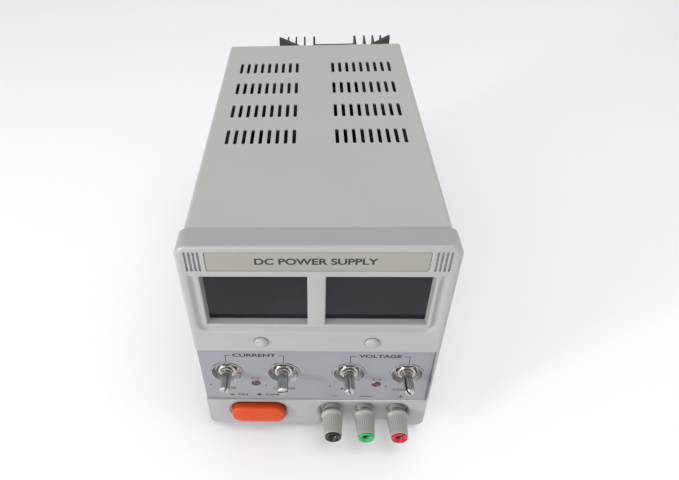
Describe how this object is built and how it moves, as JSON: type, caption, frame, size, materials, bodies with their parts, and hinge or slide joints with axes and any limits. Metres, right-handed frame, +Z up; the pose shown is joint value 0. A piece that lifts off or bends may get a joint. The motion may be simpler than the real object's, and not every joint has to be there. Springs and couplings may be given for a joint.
{
  "type": "bench power supply",
  "caption": "Upright bench power supply: moulded front with two meter windows, bare split control shafts, push button, binding posts, vented steel cover and rear heat sink.",
  "frame": {"origin": "on the floor under the feet, midway between the sides and midway between the tips of the binding posts and the back of the heat sink", "axes": "+X to the right seen from the front, +Y towards the back, +Z up; the front faces -Y"},
  "size_m": [0.136, 0.291, 0.163],
  "materials": {
    "bezel_plastic": "fine satin texture",
    "label_film": "satin print",
    "panel_film": "satin silver print",
    "smoked_acrylic": "polished, dark smoked",
    "cover_paint": "fine textured paint",
    "galvanised_steel": "dull zinc",
    "rear_paint": "fine textured paint",
    "foot_rubber": "matte",
    "zinc_screws": "bright zinc",
    "shaft_metal": "satin, knurled",
    "nickel_plate": "nickel plate",
    "phenolic": "brown laminate",
    "orange_plastic": "semi-gloss",
    "black_plastic": "satin",
    "led_red": "clear red, unlit",
    "brass": "turned",
    "grey_plastic": "satin",
    "ring_black": "gloss",
    "ring_green": "gloss",
    "ring_red": "gloss",
    "circuit_board": "solder mask",
    "core_steel": "varnished laminations",
    "winding_copper": "taped winding",
    "capacitor_sleeve": "shrink sleeve",
    "relay_blue": "moulded",
    "black_anodised": "black anodised",
    "transistor_can": "nickel plated can",
    "fuse_glass": "clear tube, metal ends",
    "slider_red": "satin"
  },
  "bodies": {
    "case": {"front_bezel": "bezel_plastic", "screw_caps": "bezel_plastic", "name_label": "label_film", "control_panel": "panel_film", "left_window": "smoked_acrylic", "right_window": "smoked_acrylic", "case_cover": "cover_paint", "bottom_tray": "galvanised_steel", "transformer_frame": "galvanised_steel", "rear_panel": "rear_paint", "feet": "foot_rubber", "bezel_screws": "zinc_screws", "foot_screws": "zinc_screws", "cover_screws": "zinc_screws", "rear_screws": "zinc_screws", "transformer_bolts": "zinc_screws", "heat_sink_screws": "zinc_screws", "pot_bushes": "nickel_plate", "pot_nuts": "nickel_plate", "pot_washers": "nickel_plate", "terminal_nuts": "nickel_plate", "inlet_pins": "nickel_plate", "pot_bodies": "phenolic", "power_switch": "black_plastic", "led_collars": "black_plastic", "mains_inlet": "black_plastic", "fuse_holder": "black_plastic", "voltage_selector": "black_plastic", "bridge_rectifier": "black_plastic", "display_modules": "black_plastic", "cc_led": "led_red", "cv_led": "led_red", "terminal_studs": "brass", "board_standoffs": "brass", "terminal_insulators": "grey_plastic", "display_board": "circuit_board", "main_board": "circuit_board", "transformer_core": "core_steel", "transformer_winding": "winding_copper", "filter_capacitors": "capacitor_sleeve", "relays": "relay_blue", "heat_sink": "black_anodised", "power_transistors": "transistor_can"},
    "current_fine_control": {"current_fine_shaft": "shaft_metal"},
    "current_coarse_control": {"current_coarse_shaft": "shaft_metal"},
    "voltage_fine_control": {"voltage_fine_shaft": "shaft_metal"},
    "voltage_coarse_control": {"voltage_coarse_shaft": "shaft_metal"},
    "button": {"power_button": "orange_plastic"},
    "black_carrier": {"black_clamp": "nickel_plate"},
    "black_cap": {"black_knob": "grey_plastic", "black_ring": "ring_black"},
    "green_carrier": {"green_clamp": "nickel_plate"},
    "green_cap": {"green_knob": "grey_plastic", "green_ring": "ring_green"},
    "red_carrier": {"red_clamp": "nickel_plate"},
    "red_cap": {"red_knob": "grey_plastic", "red_ring": "ring_red"},
    "selector": {"selector_slider": "slider_red"},
    "fuse_carrier": {"fuse_link": "fuse_glass"},
    "fuse_lid": {"fuse_cap": "black_plastic"}
  },
  "joints": [
    {"name": "current_fine_turn", "type": "hinge", "parent": "case", "child": "current_fine_control", "pos_m": [-0.0526, -0.13, 0.0595], "axis": [0, -1, 0], "range_deg": [-150, 150]},
    {"name": "current_coarse_turn", "type": "hinge", "parent": "case", "child": "current_coarse_control", "pos_m": [-0.0192, -0.13, 0.0595], "axis": [0, -1, 0], "range_deg": [-150, 150]},
    {"name": "voltage_fine_turn", "type": "hinge", "parent": "case", "child": "voltage_fine_control", "pos_m": [0.0192, -0.13, 0.0595], "axis": [0, -1, 0], "range_deg": [-150, 150]},
    {"name": "voltage_coarse_turn", "type": "hinge", "parent": "case", "child": "voltage_coarse_control", "pos_m": [0.0526, -0.13, 0.0595], "axis": [0, -1, 0], "range_deg": [-150, 150]},
    {"name": "button_press", "type": "slide", "parent": "case", "child": "button", "axis": [0, 1, 0], "range_m": [0, 0.004], "stiffness_N_per_m": 400, "springref_m": -0.002},
    {"name": "black_clamp_slide", "type": "slide", "parent": "case", "child": "black_carrier", "axis": [0, -1, 0], "range_m": [0, 0.0045]},
    {"name": "black_cap_turn", "type": "hinge", "parent": "black_carrier", "child": "black_cap", "pos_m": [0.0103, -0.13, 0.0195], "axis": [0, -1, 0], "range_deg": [0, 2320]},
    {"name": "green_clamp_slide", "type": "slide", "parent": "case", "child": "green_carrier", "axis": [0, -1, 0], "range_m": [0, 0.0045]},
    {"name": "green_cap_turn", "type": "hinge", "parent": "green_carrier", "child": "green_cap", "pos_m": [0.0303, -0.13, 0.0195], "axis": [0, -1, 0], "range_deg": [0, 2320]},
    {"name": "red_clamp_slide", "type": "slide", "parent": "case", "child": "red_carrier", "axis": [0, -1, 0], "range_m": [0, 0.0045]},
    {"name": "red_cap_turn", "type": "hinge", "parent": "red_carrier", "child": "red_cap", "pos_m": [0.0503, -0.13, 0.0195], "axis": [0, -1, 0], "range_deg": [0, 2320]},
    {"name": "selector_slide", "type": "slide", "parent": "case", "child": "selector", "axis": [1, 0, 0], "range_m": [0, 0.006]},
    {"name": "fuse_slide", "type": "slide", "parent": "case", "child": "fuse_carrier", "axis": [0, 1, 0], "range_m": [0, 0.006]},
    {"name": "fuse_cap_turn", "type": "hinge", "parent": "fuse_carrier", "child": "fuse_lid", "pos_m": [-0.046, -0.13, 0.092], "axis": [0, 1, 0], "range_deg": [0, 1085]}
  ],
  "couplings": [
    {"joint": "black_cap_turn", "follows": "black_clamp_slide", "rad_per_m": 8976},
    {"joint": "green_cap_turn", "follows": "green_clamp_slide", "rad_per_m": 8976},
    {"joint": "red_cap_turn", "follows": "red_clamp_slide", "rad_per_m": 8976},
    {"joint": "fuse_cap_turn", "follows": "fuse_slide", "rad_per_m": 3141.6}
  ]
}
